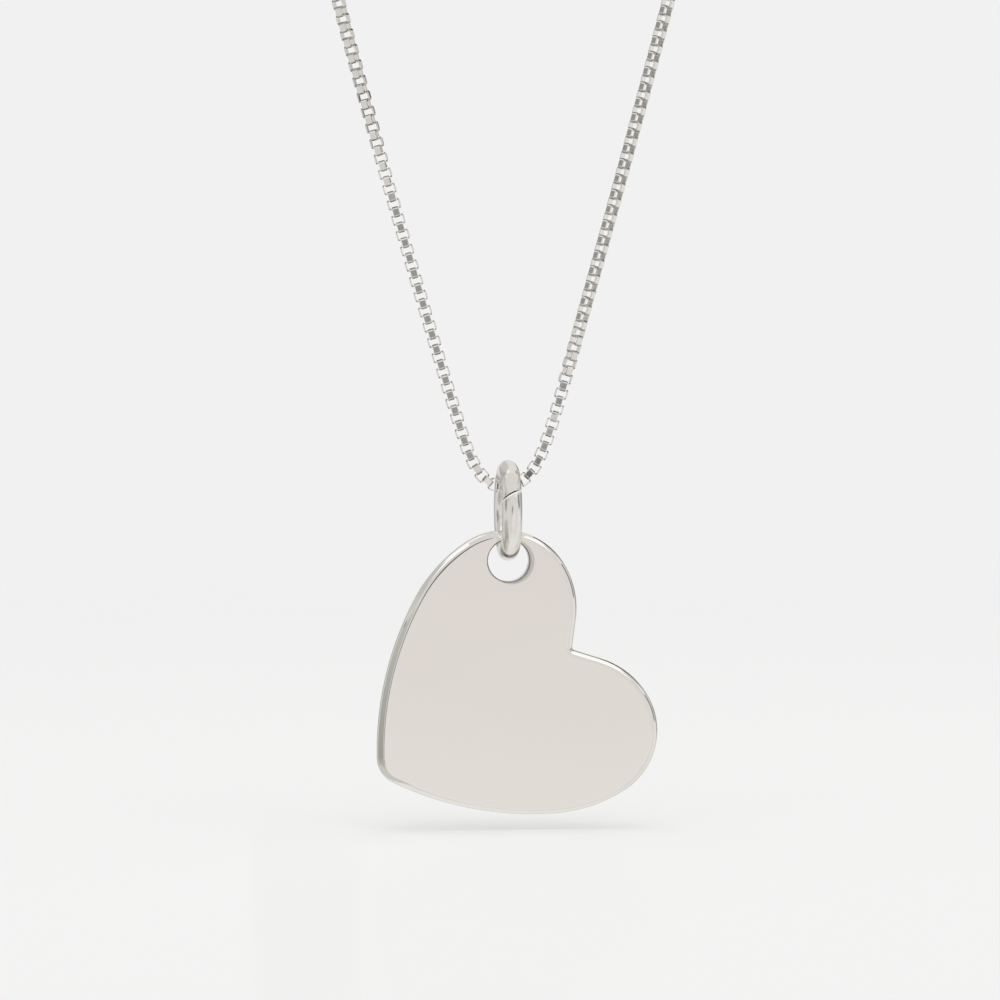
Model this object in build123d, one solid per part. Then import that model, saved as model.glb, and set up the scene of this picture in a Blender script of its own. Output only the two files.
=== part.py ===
from build123d import *
import math
import os

# Heart pendant on a box chain: a flat polished heart with a hole in one lobe, the jump
# ring through that hole, the chain that the ring hangs on, and the barrel clasp that
# closes the chain into one loop.
# Millimetres, +Z up, the heart's face towards -Y. The origin is on the underside of the
# clasp, at the top of the loop, where the necklace rests on a neck or a peg.

# Heart plate, sized upright before it is turned to hang from its hole
HEART_WIDTH = 18.6
HEART_HEIGHT = 16.95  # lobe tops to the point, before the point is rounded
PLATE_THICKNESS = 1.0
LOBE_RADIUS = 4.4  # outer quarter of each lobe
TIP_ROUND = 1.8
NOTCH_ROUND = 0.15
EDGE_ROUND = 0.44

# Places on one half of the outline, as shares of half the width and of the height:
# where the lobe's inner arc ends and a straight runs into the notch, and where the
# flank turns from its upper to its flatter lower arc
NOTCH_RUN_START = {"across": 0.156, "down": 0.074}
FLANK_CHANGE = {"across": 0.877, "down": 0.523}

# Hole in the left lobe
HOLE_DIAMETER = 2.6
HOLE_BRIDGE = 0.6  # metal left between the hole and the lobe's edge
HOLE_BEARING = 52.0  # degrees outwards from the lobe's top
HOLE_EDGE_ROUND = 0.13

# Jump ring, bent from round wire and cut once
RING_INNER_DIAMETER = 3.8
RING_WIRE = 1.25
SEAM_WIDTH = 0.05
SEAM_HEIGHT_ANGLE = 24.0  # degrees above the ring's middle, on the front limb
SEAM_SLANT = 27.0  # degrees off square to the wire
RING_CLEARANCE = 0.06  # ring wire to the chain and to the hole's edge

# Chain
CHAIN_DIAMETER = 0.9
BEND_CLEARANCE = 0.15  # room for the chain's bend round the underside of the ring wire
ARC_SHARE = 0.45  # part of the shorter run beside a corner that its arc takes up

# Barrel clasp
CLASP_LENGTH = 9.0
CLASP_DIAMETER = 2.4
SHOULDER_ROUND = 0.6
COLLAR_LENGTH = 1.0
COLLAR_DIAMETER = 1.7
COLLAR_ROUND = 0.15
SOCKET_DEPTH = 0.7
SOCKET_CLEARANCE = 0.05
GROOVE_WIDTH = 0.16
GROOVE_DEPTH = 0.12

# Loop of the chain, measured to the middle of its strands
LOOP_DROP = 197.4  # clasp axis to the chain's lowest point
LOOP_WIDTH = 78.2

# Route of the chain: its crown, alike on both sides, from the clasp outwards and down,
# as shares of half the loop's width across from the middle and down from the clasp axis
CROWN_ROUTE = [
    {"across": 0.174, "down": 0.0},
    {"across": 0.50, "down": 0.12},
    {"across": 0.77, "down": 0.345},
    {"across": 0.941, "down": 0.647},
    {"across": 1.0, "down": 0.992},
    {"across": 0.85, "down": 1.805},
]
# and its two strands, from the left one under the ring and up the right one:
# (x, height above the chain's lowest point)
STRAND_ROUTE = [
    (-22.2, 76.4),
    (-10.2, 28.3),
    (-2.95, 3.45),
    (-1.95, 1.12),
    (-0.8, 0.0),
    (0.5, 0.1),
    (1.7, 1.22),
    (2.6, 3.45),
    (3.45, 6.3),
    (9.8, 29.2),
    (22.0, 76.4),
]

# Heights that follow from the sizes above
clasp_axis_z = CLASP_DIAMETER / 2
chain_low_z = clasp_axis_z - LOOP_DROP
ring_radius = (RING_INNER_DIAMETER + RING_WIRE) / 2
ring_top_z = chain_low_z + (CHAIN_DIAMETER + RING_WIRE) / 2 + BEND_CLEARANCE
ring_centre_z = ring_top_z - ring_radius
ring_bottom_z = ring_centre_z - ring_radius
hole_centre_z = ring_bottom_z - (HOLE_DIAMETER - RING_WIRE) / 2 + RING_CLEARANCE


def heart_outline():
    """The upright heart as a face, lobe tops at y = 0 and the axis of symmetry at x = 0."""
    half_width = HEART_WIDTH / 2
    lobe_top = (half_width - LOBE_RADIUS, 0)
    lobe_side = (half_width, -LOBE_RADIUS)
    notch_run = (
        NOTCH_RUN_START["across"] * half_width,
        -NOTCH_RUN_START["down"] * HEART_HEIGHT,
    )
    flank_change = (
        FLANK_CHANGE["across"] * half_width,
        -FLANK_CHANGE["down"] * HEART_HEIGHT,
    )
    lobe_inner = TangentArc(lobe_top, notch_run, tangent=(-1, 0))
    into_notch = lobe_inner % 1
    notch = Vector(*notch_run) + into_notch * (notch_run[0] / -into_notch.X)
    notch_line = Line(notch_run, (0, notch.Y))
    lobe_outer = TangentArc(lobe_top, lobe_side, tangent=(1, 0))
    upper_flank = TangentArc(lobe_side, flank_change, tangent=lobe_outer % 1)
    lower_flank = TangentArc(flank_change, (0, -HEART_HEIGHT), tangent=upper_flank % 1)
    right = Curve() + [notch_line, lobe_inner, lobe_outer, upper_flank, lower_flank]
    outline = make_face(right + mirror(right, about=Plane.YZ))
    on_axis = [v for v in outline.vertices() if abs(v.X) < 1e-6]
    tip = min(on_axis, key=lambda v: v.Y)
    outline = fillet(tip, TIP_ROUND)
    on_axis = [v for v in outline.vertices() if abs(v.X) < 1e-6]
    return fillet(max(on_axis, key=lambda v: v.Y), NOTCH_ROUND)


def make_heart():
    """The plate with its hole, turned about the hole until its weight hangs below it."""
    hole_radius = HOLE_DIAMETER / 2
    from_lobe_centre = LOBE_RADIUS - HOLE_BRIDGE - hole_radius
    bearing = math.radians(HOLE_BEARING)
    hole_x = -(HEART_WIDTH / 2 - LOBE_RADIUS) - from_lobe_centre * math.sin(bearing)
    hole_y = -LOBE_RADIUS + from_lobe_centre * math.cos(bearing)
    face = Pos(-hole_x, -hole_y) * heart_outline() - Circle(hole_radius)
    balance = face.center(CenterOf.MASS)
    hang_angle = -90 - math.degrees(math.atan2(balance.Y, balance.X))
    print("heart turned", round(hang_angle, 2), "degrees to hang true")
    plate = extrude(Plane.XZ * Rot(0, 0, hang_angle) * face, PLATE_THICKNESS / 2, both=True)

    faces_y = plate.edges().group_by(Axis.Y)
    rims = faces_y[0] + faces_y[-1]
    outer = [e for e in rims if not e.is_closed]
    edge_round = min(EDGE_ROUND, 0.74 * HOLE_BRIDGE, 0.45 * PLATE_THICKNESS)
    plate = fillet(outer, edge_round)
    hole_rims = [e for e in plate.edges() if e.is_closed]
    plate = fillet(hole_rims, min(HOLE_EDGE_ROUND, 0.22 * HOLE_BRIDGE))
    return Pos(0, 0, hole_centre_z) * plate


def make_jump_ring():
    """A round wire ring in the YZ plane with a slanted cut through its front limb."""
    ring = Rot(0, 90, 0) * Torus(ring_radius, RING_WIRE / 2)
    lift = math.radians(SEAM_HEIGHT_ANGLE)
    slant = math.radians(SEAM_SLANT)
    outwards = Vector(0, -math.cos(lift), math.sin(lift))
    along_wire = Vector(0, math.sin(lift), math.cos(lift))
    cut_normal = along_wire * math.cos(slant) - Vector(1, 0, 0) * math.sin(slant)
    cut_plane = Plane(outwards * ring_radius, x_dir=outwards, z_dir=cut_normal)
    cutter_side = 2 * RING_WIRE
    ring -= cut_plane * Box(cutter_side, cutter_side, SEAM_WIDTH)
    return Pos(0, 0, ring_centre_z) * ring


def chain_path():
    """Straight runs joined by tangent arcs, each as large as its two runs allow."""
    half_width = LOOP_WIDTH / 2
    side = [(CLASP_LENGTH / 2 - SOCKET_DEPTH, clasp_axis_z)]
    for share in CROWN_ROUTE:
        side.append((share["across"] * half_width, clasp_axis_z - share["down"] * half_width))
    route = [(-x, z) for x, z in side]
    route += [(x, chain_low_z + up) for x, up in STRAND_ROUTE]
    route += reversed(side)
    points = [Vector(x, 0, z) for x, z in route]
    radii = []
    for before, corner, after in zip(points, points[1:], points[2:]):
        run_in = corner - before
        run_out = after - corner
        half_turn = math.radians(run_in.get_angle(run_out)) / 2
        shorter = min(run_in.length, run_out.length)
        radii.append(ARC_SHARE * shorter / math.tan(half_turn))
    print("chain bend radii", [round(r, 2) for r in radii])
    return FilletPolyline(*points, radius=radii)


def make_chain():
    """The space that the chain's links fill, as a round tube along its route."""
    path = chain_path()
    section = Plane(origin=path @ 0, z_dir=path % 0) * Circle(CHAIN_DIAMETER / 2)
    chain = sweep(section, path=path)
    expected = math.pi * CHAIN_DIAMETER**2 / 4 * path.length
    print("chain length", round(path.length, 2), "mm")
    print("chain volume", round(chain.volume, 2), "section times length", round(expected, 2))
    overall = path.length + CLASP_LENGTH - 2 * SOCKET_DEPTH
    print("necklace length with its clasp", round(overall, 1), "mm")
    return chain


def make_clasp():
    """A plain turned barrel with a collar and a socket for the chain at each end."""
    barrel = Cylinder(CLASP_DIAMETER / 2, CLASP_LENGTH - 2 * COLLAR_LENGTH)
    barrel = fillet(barrel.edges().filter_by(GeomType.CIRCLE), SHOULDER_ROUND)
    groove_radius = CLASP_DIAMETER / 2 - GROOVE_DEPTH
    barrel -= Cylinder(CLASP_DIAMETER, GROOVE_WIDTH) - Cylinder(groove_radius, GROOVE_WIDTH)
    collars = Cylinder(COLLAR_DIAMETER / 2, CLASP_LENGTH)
    collars = fillet(collars.edges().filter_by(GeomType.CIRCLE), COLLAR_ROUND)
    clasp = barrel + collars
    socket = Cylinder(CHAIN_DIAMETER / 2 + SOCKET_CLEARANCE, SOCKET_DEPTH)
    socket_z = (CLASP_LENGTH - SOCKET_DEPTH) / 2
    clasp -= Pos(0, 0, socket_z) * socket
    clasp -= Pos(0, 0, -socket_z) * socket
    return Pos(0, 0, clasp_axis_z) * Rot(0, 90, 0) * clasp


os.makedirs("parts", exist_ok=True)
pieces = {
    "heart": make_heart(),
    "jump_ring": make_jump_ring(),
    "chain": make_chain(),
    "clasp": make_clasp(),
}
for name, piece in pieces.items():
    export_step(piece, f"parts/{name}.step")
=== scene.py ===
# %% [markdown]
# # A silver heart pendant on a box chain
#
# The necklace is one loop: a fine box chain, a barrel clasp at its top, and at its foot a
# round jump ring with a flat heart. The imported model gives the exact solids in metres, with
# +Z up and the heart's face towards -Y. We load it first, because every piece made below
# rides on one of its bodies.

# %% Load the imported model
import math
import bmesh
import bpy
from mathutils import Matrix, Vector


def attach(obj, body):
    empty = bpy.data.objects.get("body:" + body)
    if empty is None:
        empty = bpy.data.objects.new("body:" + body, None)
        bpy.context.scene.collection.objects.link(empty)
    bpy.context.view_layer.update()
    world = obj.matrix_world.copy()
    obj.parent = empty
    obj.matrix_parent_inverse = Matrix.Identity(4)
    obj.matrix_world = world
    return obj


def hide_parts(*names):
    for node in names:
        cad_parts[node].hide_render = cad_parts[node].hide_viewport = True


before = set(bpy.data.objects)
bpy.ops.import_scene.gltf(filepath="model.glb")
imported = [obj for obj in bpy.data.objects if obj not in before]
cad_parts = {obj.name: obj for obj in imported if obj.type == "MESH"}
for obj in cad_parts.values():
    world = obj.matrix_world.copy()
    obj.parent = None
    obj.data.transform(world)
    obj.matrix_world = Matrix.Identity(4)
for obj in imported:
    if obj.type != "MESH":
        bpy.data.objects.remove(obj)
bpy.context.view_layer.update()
MM = 0.001

# %% [markdown]
# ## The camera
#
# Jewellery is photographed from far off with a long lens, so that a small thing isn't
# stretched by perspective. 200 mm on a 36 mm sensor needs 347 mm of distance to take in
# 62.5 mm, which is the width of the picture here. It stands a little left of the heart's
# face and a little above it. A direction and one rotation are enough to aim it.

# %% Camera
LENS = 200.0
SENSOR = 36.0
PICTURE_WIDTH = 62.5 * MM
CAMERA_AZIMUTH = math.radians(-6.0)
CAMERA_ELEVATION = math.radians(2.75)
AIM = Vector((-0.5, 0.0, -196.85)) * MM

towards_camera = Vector((
    math.sin(CAMERA_AZIMUTH) * math.cos(CAMERA_ELEVATION),
    -math.cos(CAMERA_AZIMUTH) * math.cos(CAMERA_ELEVATION),
    math.sin(CAMERA_ELEVATION),
))
camera = bpy.data.objects.new("camera", bpy.data.cameras.new("camera"))
bpy.context.collection.objects.link(camera)
camera.data.lens = LENS
camera.data.sensor_width = SENSOR
camera.data.clip_start = 10 * MM
camera.data.clip_end = 10.0
camera.location = AIM + towards_camera * (PICTURE_WIDTH * LENS / SENSOR)
camera.rotation_euler = towards_camera.to_track_quat("Z", "Y").to_euler()
bpy.context.scene.camera = camera
print("camera stands", round((camera.location - AIM).length / MM), "mm away")

# %% [markdown]
# ## Small helpers
#
# Colours are easiest to pick as the hex values of a picture, but shaders add up light, so
# one function turns them to linear values. Another adds a node: its settings by name, then
# what goes into its sockets, either a plain value or the output of an earlier node. Two more
# do what every piece and every material needs: one makes an object of a finished bmesh, and
# one gives a material or the world a node tree with nothing in it.

# %% Helpers for colours, nodes and objects
def linear(hex_colour):
    """An sRGB hex colour as linear red, green, blue and full alpha."""
    channels = []
    for start in (0, 2, 4):
        share = int(hex_colour[start:start + 2], 16) / 255
        curved = ((share + 0.055) / 1.055) ** 2.4
        channels.append(share / 12.92 if share <= 0.04045 else curved)
    return (*channels, 1.0)


def add_node(tree, kind, sockets=None, **settings):
    """A node with its settings, each socket given a value or an earlier node's output."""
    node = tree.nodes.new(kind)
    for name, value in settings.items():
        setattr(node, name, value)
    for socket, value in (sockets or {}).items():
        if isinstance(value, bpy.types.NodeSocket):
            tree.links.new(value, node.inputs[socket])
        else:
            node.inputs[socket].default_value = value
    return node


def empty_tree(owner):
    """The node tree of a material or a world, cleared for new nodes."""
    owner.use_nodes = True
    owner.node_tree.nodes.clear()
    return owner.node_tree


def add_object(name, bm):
    """An object in the scene whose mesh is a bmesh's, which is freed."""
    mesh = bpy.data.meshes.new(name)
    bm.to_mesh(mesh)
    bm.free()
    new_object = bpy.data.objects.new(name, mesh)
    bpy.context.collection.objects.link(new_object)
    return new_object


print("background grey is", round(linear("F1F1F1")[0], 3), "in linear light")

# %% [markdown]
# ## The route of the chain
#
# A chain that hangs is a smooth curve, tight only where it runs under the ring. A NURBS
# curve gives that from few control points, and it keeps clear of the wobbles that a curve
# forced through many points gets. The points are the corners of the chain's route in the
# solid model, in millimetres. The order and the end points are set last, because Blender
# cuts the order down to the number of points that a spline has when it is set.

# %% Chain route
CHAIN_ROUTE = [
    (-3.8, 1.2), (-6.8, 1.2), (-19.55, -3.49), (-30.11, -12.29), (-36.79, -24.10),
    (-39.1, -37.59), (-33.24, -69.38), (-22.2, -119.8), (-10.2, -167.9), (-2.95, -192.75),
    (-1.95, -195.08), (-0.8, -196.08), (0.5, -195.98), (1.7, -194.98), (2.6, -192.75),
    (3.45, -189.9), (9.8, -167.0), (22.0, -119.8), (33.24, -69.38), (39.1, -37.59),
    (36.79, -24.10), (30.11, -12.29), (19.55, -3.49), (6.8, 1.2), (3.8, 1.2),
]
route_curve = bpy.data.curves.new("chain_route", "CURVE")
route_curve.dimensions = "3D"
route_curve.resolution_u = 40
spline = route_curve.splines.new("NURBS")
spline.points.add(len(CHAIN_ROUTE) - 1)
for point, (x, z) in zip(spline.points, CHAIN_ROUTE):
    point.co = (x * MM, 0.0, z * MM, 1.0)
spline.order_u = 3
spline.use_endpoint_u = True
route_object = bpy.data.objects.new("chain_route", route_curve)
bpy.context.collection.objects.link(route_object)
bpy.context.view_layer.update()
route_mesh = bpy.data.meshes.new_from_object(route_object)
route_points = [v.co.copy() for v in route_mesh.vertices]
bpy.data.objects.remove(route_object)
bpy.data.meshes.remove(route_mesh)

distances = [0.0]
for before, after in zip(route_points, route_points[1:]):
    distances.append(distances[-1] + (after - before).length)
route_length = distances[-1]
lowest = min(range(len(route_points)), key=lambda i: route_points[i].z)
lowest_distance = distances[lowest]
print("chain route", len(route_points), "points,", round(route_length / MM, 1), "mm long")

# %% [markdown]
# ## One link of the box chain
#
# A box chain is bent from flat strip: each link is a boxy loop, and every second link is
# turned a quarter turn, so its end bar sits inside the loop before it. A link is as long as
# the pitch and twice the strip's thickness, so the bars just touch. The loop starts as a
# flat face, its corners are bevelled to the bend's radius, the outline is extruded by the
# strip's width, and solidify gives the strip its thickness. Tumbling breaks the strip's outer
# edges, so they are bevelled a little, and catch the light. The bends are shaded smooth, but
# the edges where they meet the flats are marked sharp: otherwise smooth shading would bend
# the flats too, and they would lose the even grey that makes a box chain look crisp. Twelve
# sections with six sides make 72 faces, enough for a thing less than a millimetre long that
# is repeated almost 900 times. The bends are marked with an attribute, because that is where
# the links shade each other, and the strip's colour gets painted shade there.

# %% Link mesh
LINK_WIDTH = 0.8 * MM
LINK_LENGTH = 0.68 * MM
STRIP_WIDTH = 0.39 * MM
STRIP_THICKNESS = 0.09 * MM
BEND_RADIUS = 0.15 * MM
EDGE_BREAK = 0.03 * MM
LINK_PITCH = 0.495 * MM
BEND_SEGMENTS = 2


def make_link():
    """A boxy loop of strip, its length along Z, with the strip's width along Y."""
    bm = bmesh.new()
    bmesh.ops.create_grid(bm, x_segments=1, y_segments=1, size=LINK_WIDTH / 2)
    bmesh.ops.rotate(bm, verts=bm.verts, matrix=Matrix.Rotation(math.radians(90), 3, "X"))
    bmesh.ops.scale(bm, verts=bm.verts, vec=(1, 1, LINK_LENGTH / LINK_WIDTH))
    bmesh.ops.bevel(
        bm, geom=bm.verts[:], offset=BEND_RADIUS, offset_type="OFFSET",
        segments=BEND_SEGMENTS, profile=0.5, affect="VERTICES", material=-1,
    )
    outline = bm.edges[:]
    bmesh.ops.delete(bm, geom=bm.faces[:], context="FACES_ONLY")
    wall = bmesh.ops.extrude_edge_only(bm, edges=outline)["geom"]
    moved = [v for v in wall if isinstance(v, bmesh.types.BMVert)]
    bmesh.ops.translate(bm, verts=moved, vec=(0, STRIP_WIDTH, 0))
    bmesh.ops.translate(bm, verts=bm.verts, vec=(0, -STRIP_WIDTH / 2, 0))
    bmesh.ops.recalc_face_normals(bm, faces=bm.faces)
    bmesh.ops.solidify(bm, geom=bm.faces[:], thickness=STRIP_THICKNESS)
    bmesh.ops.recalc_face_normals(bm, faces=bm.faces)
    outer = {
        edge for face in bm.faces for edge in face.edges
        if abs(face.normal.y) < 0.1 and face.normal.dot(face.calc_center_median()) > 0
        and edge.calc_face_angle() > math.radians(80)
    }
    bmesh.ops.bevel(
        bm, geom=list(outer), offset=EDGE_BREAK, offset_type="OFFSET", segments=1,
        profile=0.5, affect="EDGES", material=-1,
    )
    for edge in bm.edges:
        # Smooth within the strip's sides and broken edges, and along the middle of a bend
        low, high = sorted(abs(face.normal.y) for face in edge.link_faces)
        step = math.degrees(edge.calc_face_angle())
        edge.smooth = low > 0.5 or (high < 0.1 and 30 < step < 60)
    recess = bm.verts.layers.float.new("recess")  # 1 in a bend, 0 elsewhere
    for v in bm.verts:
        past_side = abs(v.co.x) - (LINK_WIDTH / 2 - BEND_RADIUS)
        past_end = abs(v.co.z) - (LINK_LENGTH / 2 - BEND_RADIUS)
        v[recess] = float(min(past_side, past_end) > 0.2 * BEND_RADIUS)
    return bm


link = make_link()
link_size = [max(v.co[axis] for v in link.verts) * 2 for axis in range(3)]
print("link", len(link.faces), "faces,", [round(side / MM, 3) for side in link_size], "mm")

# %% [markdown]
# ## Laying the links along the route
#
# Each link hangs in the next at a pivot, so a link is laid from pivot to pivot, as a chord
# of the route: in the tight bend under the ring the links fold against each other, as real
# ones do. A chain also has a slow twist. It hangs square to the camera beside the ring and
# turns onto its edge further up, which changes the whole look of the strand, so the twist
# is read from a short table of distances from the lowest point.

# %% Twist along the chain
TWIST = [
    (-60.0, 45), (-34.0, 36), (-28.6, 29), (-25.0, 20), (-21.4, 9), (-18.8, 6), (-3.0, 6),
    (0.0, 1), (2.5, -6), (7.5, -5), (9.5, 20), (12.5, 43), (60.0, 45),
]  # mm from the chain's lowest point, degrees


def twist_at(distance):
    """The chain's turn about itself, in radians, at a distance from its lowest point."""
    here = max(TWIST[0][0], min(TWIST[-1][0], distance / MM))
    for (start, low), (end, high) in zip(TWIST, TWIST[1:]):
        if here <= end:
            share = (here - start) / (end - start)
            share = share * share * (3 - 2 * share)
            return math.radians(low + (high - low) * share)


def point_at(distance):
    """The point of the route at a distance from its start."""
    distance = max(0.0, min(route_length, distance))
    low, high = 0, len(distances) - 1
    while high - low > 1:
        middle = (low + high) // 2
        if distances[middle] <= distance:
            low = middle
        else:
            high = middle
    share = (distance - distances[low]) / (distances[high] - distances[low])
    return route_points[low].lerp(route_points[high], share)


twist_samples = {mm: round(math.degrees(twist_at(mm * MM))) for mm in (-20, -5, 5, 20)}
print("twist in degrees at mm from the lowest point", twist_samples)

# %% Lay the links
link_count = int(round(route_length / LINK_PITCH))
pitch = route_length / link_count
chain_bm = bmesh.new()
link_mesh = bpy.data.meshes.new("link")
for number in range(link_count):
    start = point_at(number * pitch)
    end = point_at((number + 1) * pitch)
    along = (end - start).normalized()
    away = Vector((0, 1, 0))
    across = away.cross(along).normalized()
    turn = twist_at((number + 0.5) * pitch - lowest_distance) + number % 2 * math.radians(90)
    u = across * math.cos(turn) + away * math.sin(turn)
    v = along.cross(u)
    place = Matrix((u, v, along)).transposed().to_4x4()
    place.translation = (start + end) / 2
    laid = link.copy()
    bmesh.ops.transform(laid, matrix=place, verts=laid.verts)
    laid.to_mesh(link_mesh)
    laid.free()
    chain_bm.from_mesh(link_mesh)
print(link_count, "links,", round(pitch / MM, 4), "mm apart,", len(chain_bm.faces), "faces")

# %% Chain object
link.free()
bpy.data.meshes.remove(link_mesh)
box_chain = add_object("box_chain", chain_bm)
box_chain.data.shade_smooth()
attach(box_chain, "necklace")
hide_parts("chain")
print(box_chain.name, "has", len(box_chain.data.vertices), "vertices")

# %% [markdown]
# ## The jump ring
#
# A jump ring is round wire wound on a rod and sawn through once at a slant, so it shows a
# hairline seam whose lips catch the light. The solid has the cut, but its lips are knife
# sharp. Here a circle is leaned over to the saw's slant first, by turning each of its points
# a little about the ring's axis, and then spun almost all the way round. So every section of
# the ring runs parallel to the seam, and the two ends can be filled and bevelled cleanly.
# The upper lip is only just broken. The lower one is rounded more, and is left frosted as
# the saw leaves it, so that it shows as a pale line beside the dark gap.

# %% Jump ring
RING_RADIUS = 2.525 * MM
WIRE_RADIUS = 0.625 * MM
RING_CENTRE = Vector((0, 0, -197.5)) * MM
SEAM_BEARING = math.radians(156.0)  # from the back, over the top, to the front limb
SEAM_SLANT = math.radians(27.0)
SEAM_GAP = 0.05 * MM
WIRE_SIDES = 32
RING_STEPS = 72
LOWER_LIP_ROUND = 0.13 * MM
UPPER_LIP_ROUND = 0.05 * MM

gap_turn = SEAM_GAP / math.cos(SEAM_SLANT) / RING_RADIUS
ring_bm = bmesh.new()
bmesh.ops.create_circle(ring_bm, segments=WIRE_SIDES, radius=WIRE_RADIUS)
bmesh.ops.translate(ring_bm, verts=ring_bm.verts, vec=(0, RING_RADIUS, 0))
for v in ring_bm.verts:
    lean = -v.co.x * math.tan(SEAM_SLANT) / v.co.y
    turn = Matrix.Rotation(SEAM_BEARING + gap_turn / 2 + lean, 3, "X")
    bmesh.ops.rotate(ring_bm, verts=[v], cent=(0, 0, 0), matrix=turn)
bmesh.ops.spin(
    ring_bm, geom=ring_bm.edges[:], cent=(0, 0, 0), axis=(1, 0, 0),
    angle=math.radians(360) - gap_turn, steps=RING_STEPS,
)
caps = bmesh.ops.holes_fill(
    ring_bm, edges=[e for e in ring_bm.edges if e.is_boundary], sides=0,
)["faces"]
bmesh.ops.recalc_face_normals(ring_bm, faces=ring_bm.faces)
gap = (caps[0].calc_center_median() - caps[1].calc_center_median()).length
lower_cap, upper_cap = sorted(caps, key=lambda cap: cap.calc_center_median().z)
lips = [  # sawn end, rounding of its lip, and the lip's material: 0 polished, 1 frosted
    (lower_cap, LOWER_LIP_ROUND, 1),
    (upper_cap, UPPER_LIP_ROUND, 0),
]
for cap, lip_round, finish in lips:
    bmesh.ops.bevel(
        ring_bm, geom=list(cap.edges), offset=lip_round, offset_type="OFFSET", segments=4,
        profile=0.5, affect="EDGES", material=finish, clamp_overlap=True,
    )
bmesh.ops.translate(ring_bm, verts=ring_bm.verts, vec=RING_CENTRE)
print("ring", len(ring_bm.faces), "faces, sawn ends", round(gap / MM, 3), "mm apart")

# %% Ring object
wire_ring = add_object("wire_ring", ring_bm)
wire_ring.data.shade_smooth()
wire_ring.data.set_sharp_from_angle(angle=math.radians(50))
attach(wire_ring, "ring")
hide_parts("jump_ring")
print(wire_ring.name, "has", len(wire_ring.data.vertices), "vertices")

# %% [markdown]
# ## Polished sterling silver
#
# Sterling silver is a metal, so all its colour is in its reflection: nearly white, a little
# warmer than the light. A buffed face is almost a mirror, but a mop leaves a slow swell, a
# few millimetres from crest to crest, and the softest haze of hairlines, which wear adds to.
# The swell bends the reflections, so a flat face doesn't look like a drawn shape. The
# hairlines are really a few thousandths of a millimetre wide. They are drawn 0.05 mm wide
# here, because anything finer is lost between the picture's pixels.

# %% Silver materials
def silver(name, colour, roughness, swell_mm, swell_depth, hairline_mm, hairline_depth):
    """A polished metal with two bumps, a slow swell and fine hairlines, depths in mm."""
    material = bpy.data.materials.new(name)
    tree = empty_tree(material)
    place = add_node(tree, "ShaderNodeTexCoord").outputs["Object"]
    swell = add_node(
        tree, "ShaderNodeTexNoise",
        {"Vector": place, "Scale": 1 / (swell_mm * MM), "Detail": 1.0, "Roughness": 0.4},
    )
    stretched = add_node(
        tree, "ShaderNodeMapping",
        {"Vector": place, "Rotation": (0.0, math.radians(35), 0.0), "Scale": (1.0, 1.0, 0.06)},
    )
    hairlines = add_node(
        tree, "ShaderNodeTexNoise",
        {"Vector": stretched.outputs["Vector"], "Scale": 1 / (hairline_mm * MM), "Detail": 3.0,
         "Roughness": 0.6},
    )
    gloss = add_node(
        tree, "ShaderNodeMapRange",
        {"Value": hairlines.outputs["Fac"], "From Min": 0.35, "From Max": 0.75,
         "To Min": roughness * 0.8, "To Max": roughness * 1.5},
    )
    slow_bump = add_node(
        tree, "ShaderNodeBump",
        {"Strength": 1.0, "Distance": swell_depth * MM, "Height": swell.outputs["Fac"]},
    )
    fine_bump = add_node(
        tree, "ShaderNodeBump",
        {"Strength": 1.0, "Distance": hairline_depth * MM, "Height": hairlines.outputs["Fac"],
         "Normal": slow_bump.outputs["Normal"]},
    )
    shader = add_node(
        tree, "ShaderNodeBsdfPrincipled",
        {"Base Color": linear(colour), "Metallic": 1.0, "Roughness": gloss.outputs["Result"],
         "Normal": fine_bump.outputs["Normal"]},
    )
    add_node(tree, "ShaderNodeOutputMaterial", {"Surface": shader.outputs["BSDF"]})
    return material


# Cast, filed and mirror buffed: the broad face shows the mop's swell
buffed_silver = silver("buffed_sterling_silver", "FCFAF5", 0.04, 7.0, 0.02, 0.05, 0.00004)
# Drawn wire, tumbled bright: too small for a swell, a little softer than the heart
drawn_silver = silver("drawn_sterling_wire", "FBF9F5", 0.16, 2.0, 0.002, 0.04, 0.00004)
# The sawn end of the ring: frosted by the saw, it scatters most of what it sends back, so
# only a part of it is left mirror-like, and the lip is white wherever it is lit from
sawn_silver = silver("sawn_sterling_end", "FFFFFD", 0.42, 0.5, 0.001, 0.04, 0.0004)
sawn_silver.node_tree.nodes["Principled BSDF"].inputs["Metallic"].default_value = 0.35
# Flat strip, bent and tumbled: slightly hazier; its bends get painted shade further down
strip_silver = silver("tumbled_sterling_strip", "F8F6F2", 0.09, 0.6, 0.002, 0.04, 0.0001)
# Turned on a lathe and polished
turned_silver = silver("turned_sterling_silver", "FBF9F4", 0.07, 2.0, 0.002, 0.05, 0.0002)
finishes = [buffed_silver, drawn_silver, sawn_silver, strip_silver, turned_silver]
print("finishes", [material.name for material in finishes])
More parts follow.
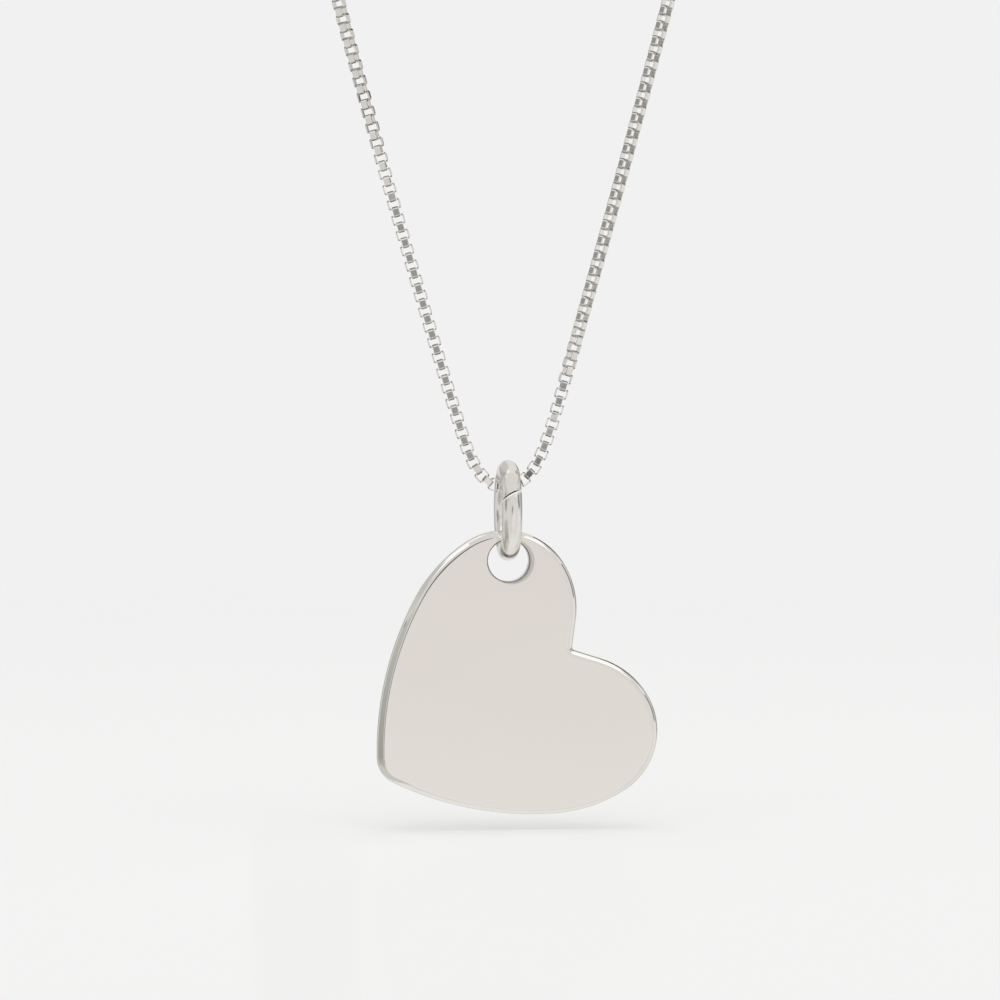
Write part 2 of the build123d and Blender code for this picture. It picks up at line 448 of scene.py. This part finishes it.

# %% [markdown]
# ## Painted shade
#
# The links lie against each other in the marked bends and shade each other there, so the
# strip's colour is darkened in the bends, more in some places than in others: painted shade.
# It draws the fine dark lines between the links. The drilled hole's wall and its very edge are
# darkened too, as a ring of darker metal about the hole's axis: painted shade. A second,
# fainter ring lies a little to the right, and shows as a soft crescent of painted shade there.

# %% Painted shade between the links
tree = strip_silver.node_tree
place = add_node(tree, "ShaderNodeTexCoord").outputs["Object"]
recess = add_node(tree, "ShaderNodeAttribute", attribute_name="recess").outputs["Fac"]
patches = add_node(
    tree, "ShaderNodeTexNoise", {"Vector": place, "Scale": 1 / (0.3 * MM), "Detail": 2.0},
)
# How strong the painted shade is, patch by patch
thickness = add_node(
    tree, "ShaderNodeMapRange",
    {"Value": patches.outputs["Fac"], "From Min": 0.35, "From Max": 0.65, "To Min": 0.6,
     "To Max": 1.0},
)
painted_shade = add_node(
    tree, "ShaderNodeMath", {0: recess, 1: thickness.outputs["Result"]}, operation="MULTIPLY",
)
# The marked bends are darkened towards 6A6663: painted shade where the links shade each other
metal_colour = add_node(
    tree, "ShaderNodeMix",
    {"Factor": painted_shade.outputs["Value"], 6: linear("F8F6F2"), 7: linear("6A6663")},
    data_type="RGBA",
)
shader = tree.nodes["Principled BSDF"]
tree.links.new(metal_colour.outputs[2], shader.inputs["Base Color"])
print(strip_silver.name, "has", len(tree.nodes), "nodes")

# %% Painted shade round the hole
PAINTED_HOLE_SHADES = [  # centre x and z, radius and softness in mm, strength
    (0.0, -200.64, 1.37, 0.06, 1.0),
    (0.20, -200.68, 1.40, 0.08, 0.42),
]
tree = buffed_silver.node_tree
place = add_node(tree, "ShaderNodeTexCoord").outputs["Object"]
patches = add_node(
    tree, "ShaderNodeTexNoise", {"Vector": place, "Scale": 1 / (0.4 * MM), "Detail": 2.0},
)
painted_shade = 0.0
for x, z, reach, soft, strength in PAINTED_HOLE_SHADES:
    from_axis = add_node(
        tree, "ShaderNodeVectorMath", {0: place, 1: (x * MM, 0.0, z * MM)},
        operation="SUBTRACT",
    )
    from_axis = add_node(
        tree, "ShaderNodeVectorMath", {0: from_axis.outputs["Vector"], 1: (1.0, 0.0, 1.0)},
        operation="MULTIPLY",
    )
    radius = add_node(
        tree, "ShaderNodeVectorMath", {0: from_axis.outputs["Vector"]}, operation="LENGTH",
    )
    uneven = add_node(
        tree, "ShaderNodeMath",
        {0: patches.outputs["Fac"], 1: 0.05 * MM, 2: radius.outputs["Value"]},
        operation="MULTIPLY_ADD",
    )
    cover = add_node(
        tree, "ShaderNodeMapRange",
        {"Value": uneven.outputs["Value"], "From Min": reach * MM,
         "From Max": (reach + soft) * MM, "To Min": strength, "To Max": 0.0},
    )
    painted_shade = add_node(
        tree, "ShaderNodeMath", {0: painted_shade, 1: cover.outputs["Result"]}, operation="MAXIMUM",
    ).outputs["Value"]
# The face's colour is darkened towards A09C96 inside both rings: painted shade on the hole's
# wall and edge, and a fainter painted crescent of shade to its right
metal_colour = add_node(
    tree, "ShaderNodeMix",
    {"Factor": painted_shade, 6: linear("FCFAF5"), 7: linear("A09C96")}, data_type="RGBA",
)
shader = tree.nodes["Principled BSDF"]
tree.links.new(metal_colour.outputs[2], shader.inputs["Base Color"])
print(buffed_silver.name, "has", len(tree.nodes), "nodes")

# %% Materials on the pieces
box_chain.data.materials.append(strip_silver)
wire_ring.data.materials.append(drawn_silver)
wire_ring.data.materials.append(sawn_silver)
for node_name, material in (("heart", buffed_silver), ("clasp", turned_silver)):
    for material_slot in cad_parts[node_name].material_slots:
        material_slot.material = material
for piece in (box_chain, wire_ring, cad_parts["heart"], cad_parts["clasp"]):
    print(piece.name, "wears", [slot.material.name for slot in piece.material_slots])

# %% [markdown]
# ## The floor
#
# A pale matt board lies just under the heart, and takes its soft shadow and a faint image of
# it. It is a light table, lit from below as well, which is why the shadow stays so faint: a
# part of its colour is given off and can't be shaded. The board fades out with distance, so
# the picture has no horizon: it melts into the pale background. It is left out of
# reflections, because the light tent stands in for it.

# %% Floor
FLOOR_HEIGHT = -217.5 * MM
FADE_START = 60 * MM
FADE_END = 300 * MM
GIVEN_OFF = 0.45  # share of the board's light that comes from below
SHEEN = 0.035

floor_bm = bmesh.new()
bmesh.ops.create_circle(floor_bm, cap_ends=True, segments=96, radius=FADE_END)
bmesh.ops.translate(floor_bm, verts=floor_bm.verts, vec=(0, 0, FLOOR_HEIGHT))
floor = add_object("floor", floor_bm)
floor.visible_glossy = False
print("floor lies at", round(FLOOR_HEIGHT / MM, 1), "mm")

# %% The floor's board
board = bpy.data.materials.new("matt_white_board")
tree = empty_tree(board)
place = add_node(tree, "ShaderNodeTexCoord").outputs["Object"]
flat_place = add_node(
    tree, "ShaderNodeVectorMath", {0: place, 1: (1.0, 1.0, 0.0)}, operation="MULTIPLY",
)
distance = add_node(
    tree, "ShaderNodeVectorMath", {0: flat_place.outputs["Vector"]}, operation="LENGTH",
)
fade = add_node(
    tree, "ShaderNodeMapRange",
    {"Value": distance.outputs["Value"], "From Min": FADE_START, "From Max": FADE_END,
     "To Min": 0.0, "To Max": 1.0},
    interpolation_type="SMOOTHSTEP",
)
matt = add_node(tree, "ShaderNodeBsdfDiffuse", {"Color": linear("F2F2F2")})
glow = add_node(tree, "ShaderNodeEmission", {"Color": linear("F1F1F1"), "Strength": 1.0})
lit = add_node(
    tree, "ShaderNodeMixShader",
    {0: GIVEN_OFF, 1: matt.outputs["BSDF"], 2: glow.outputs["Emission"]},
)
sheen = add_node(tree, "ShaderNodeBsdfGlossy", {"Color": linear("FFFFFF"), "Roughness": 0.12})
surface = add_node(
    tree, "ShaderNodeMixShader",
    {0: SHEEN, 1: lit.outputs["Shader"], 2: sheen.outputs["BSDF"]},
)
clear = add_node(tree, "ShaderNodeBsdfTransparent")
faded = add_node(
    tree, "ShaderNodeMixShader",
    {0: fade.outputs["Result"], 1: surface.outputs["Shader"], 2: clear.outputs["BSDF"]},
)
add_node(tree, "ShaderNodeOutputMaterial", {"Surface": faded.outputs["Shader"]})
floor.data.materials.append(board)
print("board fades from", round(FADE_START / MM), "to", round(FADE_END / MM), "mm")

# %% [markdown]
# ## The light tent
#
# Polished metal shows what stands round it and nothing else, so the light is made as a
# photographer makes it: a tent of soft panels, light and grey. The world's colour is read
# from the direction alone, and each panel is a soft-edged rectangle in two angles that is
# laid over the ones before it. The camera itself sees plain pale grey.

# %% Directions in the world
world = bpy.data.worlds.new("light_tent")
bpy.context.scene.world = world
tree = empty_tree(world)
direction = add_node(tree, "ShaderNodeTexCoord").outputs["Generated"]
axes = add_node(tree, "ShaderNodeSeparateXYZ", {"Vector": direction}).outputs
forward = add_node(
    tree, "ShaderNodeMath", {0: axes["Y"], 1: -1.0}, operation="MULTIPLY",
).outputs["Value"]


def two_angles(round_sine, round_cosine, up_sine):
    """A direction as two angles in degrees: round an axis, and up from its equator."""
    turn = add_node(
        tree, "ShaderNodeMath", {0: round_sine, 1: round_cosine}, operation="ARCTAN2",
    )
    rise = add_node(tree, "ShaderNodeMath", {0: up_sine}, operation="ARCSINE")
    both = add_node(
        tree, "ShaderNodeCombineXYZ", {"X": turn.outputs["Value"], "Y": rise.outputs["Value"]},
    )
    return add_node(
        tree, "ShaderNodeVectorMath",
        {0: both.outputs["Vector"], 1: (math.degrees(1), math.degrees(1), 0.0)},
        operation="MULTIPLY",
    ).outputs["Vector"]


# By compass: turn from the front, + to the picture's right, and rise above the horizon
compass = two_angles(axes["X"], forward, axes["Z"])
# The same from the back: turn from straight behind, + to the picture's right
behind = two_angles(axes["X"], axes["Y"], axes["Z"])
# By the roof: turn from the front up over the top, 90, to the back, and + to the right
over = two_angles(axes["Z"], forward, axes["X"])
print("directions take", len(tree.nodes), "nodes")


# %% Panels of the tent
def panel(under, angles, turn, rise, colour, soft):
    """A soft-edged panel over what is under it, from and to two pairs of angles."""
    centre = ((turn[0] + turn[1]) / 2, (rise[0] + rise[1]) / 2, 0.0)
    half = ((turn[1] - turn[0]) / 2, (rise[1] - rise[0]) / 2, 0.0)
    away = add_node(tree, "ShaderNodeVectorMath", {0: angles, 1: centre}, operation="SUBTRACT")
    away = add_node(
        tree, "ShaderNodeVectorMath", {0: away.outputs["Vector"]}, operation="ABSOLUTE",
    )
    away = add_node(
        tree, "ShaderNodeVectorMath", {0: away.outputs["Vector"], 1: half},
        operation="SUBTRACT",
    )
    sides = add_node(tree, "ShaderNodeSeparateXYZ", {"Vector": away.outputs["Vector"]}).outputs
    outside = add_node(
        tree, "ShaderNodeMath", {0: sides["X"], 1: sides["Y"]}, operation="MAXIMUM",
    )
    cover = add_node(
        tree, "ShaderNodeMapRange",
        {"Value": outside.outputs["Value"], "From Min": -soft / 2, "From Max": soft / 2,
         "To Min": 1.0, "To Max": 0.0},
        interpolation_type="SMOOTHSTEP",
    )
    return add_node(
        tree, "ShaderNodeMix",
        {"Factor": cover.outputs["Result"], 6: under, 7: linear(colour)}, data_type="RGBA",
    ).outputs[2]


PANELS = [  # angles to read, turn from and to, rise from and to, colour, softness
    (compass, (-3.5, 104), (-80, 30), "DDD8D7", 2.0),  # front and right
    (compass, (-6, 30), (-40, -4.6), "E5E1E0", 5.0),  # low in front
    (compass, (62, 107), (-60, 32), "E2E3E1", 4.0),  # right
    (compass, (106, 165), (-6, 70), "9C9998", 14.0),  # behind right
    (compass, (-176, -118), (-50, 60), "CECECB", 8.0),  # behind left
    (behind, (-12, 13), (-30, 12), "F1F1F1", 2.0),  # backdrop
    (behind, (-9, 9), (-24, 4), "DFDAD7", 3.0),  # what the back's face sees
    (behind, (-42, -14), (-30, 30), "A8A8A5", 6.0),  # left of the backdrop
    (compass, (70, 94), (3, 26), "7C7C7A", 3.0),  # for the heart's right edge
    (compass, (96, 135), (12, 26), "D0D0CD", 3.0),  # for the chain's far sides
    (compass, (-165, -30), (24, 62), "C0C0BD", 8.0),  # high at the left
    (compass, (-100, -70), (0.4, 22), "949492", 1.0),  # left, for the chain
    (over, (30, 36), (-60, 60), "B8B8B8", 4.0),  # gap before the roof
    (over, (36, 112), (-42, 42), "FFFFFF", 5.0),  # roof
    (over, (116, 168), (-30, 22), "C6C6C4", 5.0),  # over the back
    (over, (116, 168), (22, 42), "5C5858", 5.0),  # over the back, right
    (compass, (-10, 3.4), (-2.35, 9), "949492", 0.8),  # beside the lens
    (compass, (-9.5, -3.2), (-9.5, -1.8), "949492", 0.6),  # below it, for the chain's flats
    (compass, (-10, 3.4), (3, 11), "606060", 1.0),  # above the lens
    (compass, (-200, 200), (-95, -55), "E6E5E3", 24.0),  # below
]
tent = linear("D6D5D2")
for angles, turn_range, rise_range, colour, soft in PANELS:
    tent = panel(tent, angles, turn_range, rise_range, colour, soft)
seen = add_node(tree, "ShaderNodeLightPath").outputs["Is Camera Ray"]
inside = add_node(tree, "ShaderNodeBackground", {"Color": tent, "Strength": 1.0})
backdrop = add_node(tree, "ShaderNodeBackground", {"Color": linear("F1F1F1"), "Strength": 1.0})
shown = add_node(
    tree, "ShaderNodeMixShader",
    {0: seen, 1: inside.outputs["Background"], 2: backdrop.outputs["Background"]},
)
add_node(tree, "ShaderNodeOutputWorld", {"Surface": shown.outputs["Shader"]})
print("light tent has", len(PANELS), "panels in", len(tree.nodes), "nodes")

# %% [markdown]
# ## A softbox overhead
#
# A broad lamp above adds the floor's light and the soft shadow under the heart. Its own
# shape stays out of the metal, where the roof of the tent is seen instead.

# %% Softbox
SOFTBOX_SIZE = 370 * MM
SOFTBOX_RISE = 600 * MM
SOFTBOX_WATTS = 1.16

softbox = bpy.data.objects.new("softbox", bpy.data.lights.new("softbox", "AREA"))
bpy.context.collection.objects.link(softbox)
softbox.data.size = SOFTBOX_SIZE
softbox.data.energy = SOFTBOX_WATTS
softbox.location = (0.0, -30 * MM, FLOOR_HEIGHT + SOFTBOX_RISE)
softbox.visible_glossy = False
softbox.visible_camera = False
print("softbox hangs", round(SOFTBOX_RISE / MM), "mm above the floor")

# %% [markdown]
# ## A grey card beside the heart
#
# White metal on a white ground loses its edge, so a photographer stands a grey card close
# by, low at the left, where only the heart's rounded edge and the wall of its hole show it to
# the lens. It is the wall and the foot of a small drum, open towards the lens. The camera
# doesn't see it, and it throws no shadow.

# %% Grey card
CARD_CENTRE = Vector((-8.0 * MM, -0.5 * MM, 0.0))
CARD_RADIUS = 8 * MM
CARD_TOP = -201.2 * MM
CARD_STEPS = 28
CLEAR_AT = CARD_CENTRE.x - 1.25 * MM  # x where the wall is still clear
PAINTED_AT = CARD_CENTRE.x - 2.75 * MM  # and x from where its paint covers

card_bm = bmesh.new()


def add_sector(start, end, first_turn, last_turn):
    """A line between two (radius, height) places, spun about the card's upright axis."""
    rim = [
        card_bm.verts.new(CARD_CENTRE + Vector((0, -radius, height)))
        for radius, height in (start, end)
    ]
    line = card_bm.edges.new(rim)
    bmesh.ops.rotate(
        card_bm, verts=rim, cent=CARD_CENTRE,
        matrix=Matrix.Rotation(math.radians(first_turn), 3, "Z"),
    )
    bmesh.ops.spin(
        card_bm, geom=rim + [line], cent=CARD_CENTRE, axis=(0, 0, 1),
        angle=math.radians(last_turn - first_turn), steps=CARD_STEPS,
    )


add_sector((CARD_RADIUS, FLOOR_HEIGHT), (CARD_RADIUS, CARD_TOP), -9, -112)  # wall
add_sector((0.5 * MM, FLOOR_HEIGHT), (CARD_RADIUS, FLOOR_HEIGHT), 14, -112)  # foot
grey_card = add_object("grey_card", card_bm)
print("card spans", [[round(c[i] / MM, 1) for c in grey_card.bound_box] for i in (0, 1)])

# %% The grey card's paint
card_paint = bpy.data.materials.new("grey_card_paint")
tree = empty_tree(card_paint)
place = add_node(tree, "ShaderNodeTexCoord").outputs["Object"]
position = add_node(tree, "ShaderNodeSeparateXYZ", {"Vector": place}).outputs
rise = add_node(
    tree, "ShaderNodeMapRange",
    {"Value": position["Z"], "From Min": FLOOR_HEIGHT, "From Max": CARD_TOP, "To Min": 0.0,
     "To Max": 1.0},
)
shade = add_node(tree, "ShaderNodeValToRGB", {"Fac": rise.outputs["Result"]})
ramp = shade.color_ramp.elements
ramp[0].color = linear("C8C6C1")
ramp[1].color = linear("BABAB5")
for share, colour in ((0.06, "BAB8B3"), (0.22, "9E9E99"), (0.75, "B2B2AC")):
    ramp.new(share).color = linear(colour)
paint = add_node(
    tree, "ShaderNodeEmission", {"Color": shade.outputs["Color"], "Strength": 1.0},
)
# The wall fades in from its open end, so that a face turned to it shows no hard line
faded_in = add_node(
    tree, "ShaderNodeMapRange",
    {"Value": position["X"], "From Min": CLEAR_AT, "From Max": PAINTED_AT, "To Min": 0.0,
     "To Max": 1.0},
    interpolation_type="SMOOTHSTEP",
)
facing = add_node(tree, "ShaderNodeNewGeometry").outputs["True Normal"]
facing_up = add_node(tree, "ShaderNodeSeparateXYZ", {"Vector": facing}).outputs["Z"]
is_foot = add_node(tree, "ShaderNodeMath", {0: facing_up}, operation="ABSOLUTE")
cover = add_node(
    tree, "ShaderNodeMath", {0: faded_in.outputs["Result"], 1: is_foot.outputs["Value"]},
    operation="MAXIMUM",
)
clear = add_node(tree, "ShaderNodeBsdfTransparent")
painted = add_node(
    tree, "ShaderNodeMixShader",
    {0: cover.outputs["Value"], 1: clear.outputs["BSDF"], 2: paint.outputs["Emission"]},
)
add_node(tree, "ShaderNodeOutputMaterial", {"Surface": painted.outputs["Shader"]})
grey_card.data.materials.append(card_paint)
print(card_paint.name, "has", len(tree.nodes), "nodes")

# %% [markdown]
# ## Two level cards
#
# The white roof would shine in the ring's wire and outshine the heart's edge. Two pale grey
# cards lie level just over the ring, one reaching forwards and one to the back, and keep the
# roof out of the wire. They are painted on their underside only: seen from above they are
# clear, so the chain above them keeps its light.

# %% Level cards
def add_level_card(name, across, deep, height, colour):
    """A level card that gives off its colour downwards and is clear from above."""
    bm = bmesh.new()
    bmesh.ops.create_grid(bm, x_segments=1, y_segments=1, size=0.5 * MM)
    bmesh.ops.scale(bm, verts=bm.verts, vec=(across[1] - across[0], deep[1] - deep[0], 1))
    middle = ((across[0] + across[1]) / 2, (deep[0] + deep[1]) / 2, height)
    bmesh.ops.translate(bm, verts=bm.verts, vec=Vector(middle) * MM)
    bmesh.ops.reverse_faces(bm, faces=bm.faces)
    card = add_object(name, bm)
    paint = bpy.data.materials.new(name + "_paint")
    tree = empty_tree(paint)
    from_above = add_node(tree, "ShaderNodeNewGeometry").outputs["Backfacing"]
    glow = add_node(tree, "ShaderNodeEmission", {"Color": linear(colour), "Strength": 1.0})
    clear = add_node(tree, "ShaderNodeBsdfTransparent")
    both = add_node(
        tree, "ShaderNodeMixShader",
        {0: from_above, 1: glow.outputs["Emission"], 2: clear.outputs["BSDF"]},
    )
    add_node(tree, "ShaderNodeOutputMaterial", {"Surface": both.outputs["Shader"]})
    card.data.materials.append(paint)
    return card


ring_card = add_level_card("ring_card", (-6.5, 4.5), (-30.0, -1.2), -191.5, "D8D5D2")
back_card = add_level_card("back_card", (-0.5, 6.5), (-1.1, 9.0), -191.5, "E0DDDA")
for card in (grey_card, ring_card, back_card):
    card.visible_camera = False
    card.visible_diffuse = False
    card.visible_shadow = False
print("level cards at", [round(c.bound_box[0][2] / MM, 1) for c in (ring_card, back_card)])

# %% [markdown]
# ## Finish
#
# The standard view transform shows the colours as they were picked.

# %% View transform and finish
bpy.context.scene.view_settings.view_transform = "Standard"
